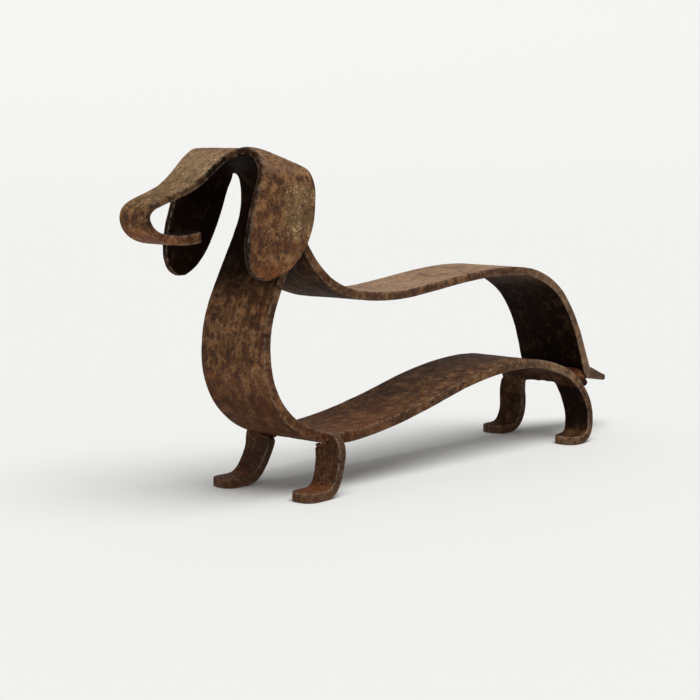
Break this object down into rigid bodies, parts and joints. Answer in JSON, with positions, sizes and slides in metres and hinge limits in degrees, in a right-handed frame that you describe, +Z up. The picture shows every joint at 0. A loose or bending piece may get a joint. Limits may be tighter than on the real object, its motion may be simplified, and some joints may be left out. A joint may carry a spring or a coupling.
{
  "type": "scrap metal dog figurine",
  "caption": "Small dachshund figure bent and welded from flat rusty iron strip, standing on its own curled feet.",
  "frame": {"origin": "on the ground, below the middle of the dog's length and width", "axes": "+Z up, -X the way the nose points, +Y to the dog's right"},
  "size_m": [0.1552, 0.029, 0.0698],
  "materials": {
    "rusty_iron": "mottled brown rust patina, satin matte, paler on worn edges",
    "dark_rusty_iron": "dark brown rust patina, satin matte",
    "rusty_weld_metal": "lumpy weld metal with orange-brown rust, satin matte"
  },
  "bodies": {
    "root": {"body_strip": "rusty_iron", "back_strip": "rusty_iron", "tail_weld": "rusty_weld_metal", "front_leg_left": "dark_rusty_iron", "front_leg_right": "dark_rusty_iron"}
  },
  "joints": []
}
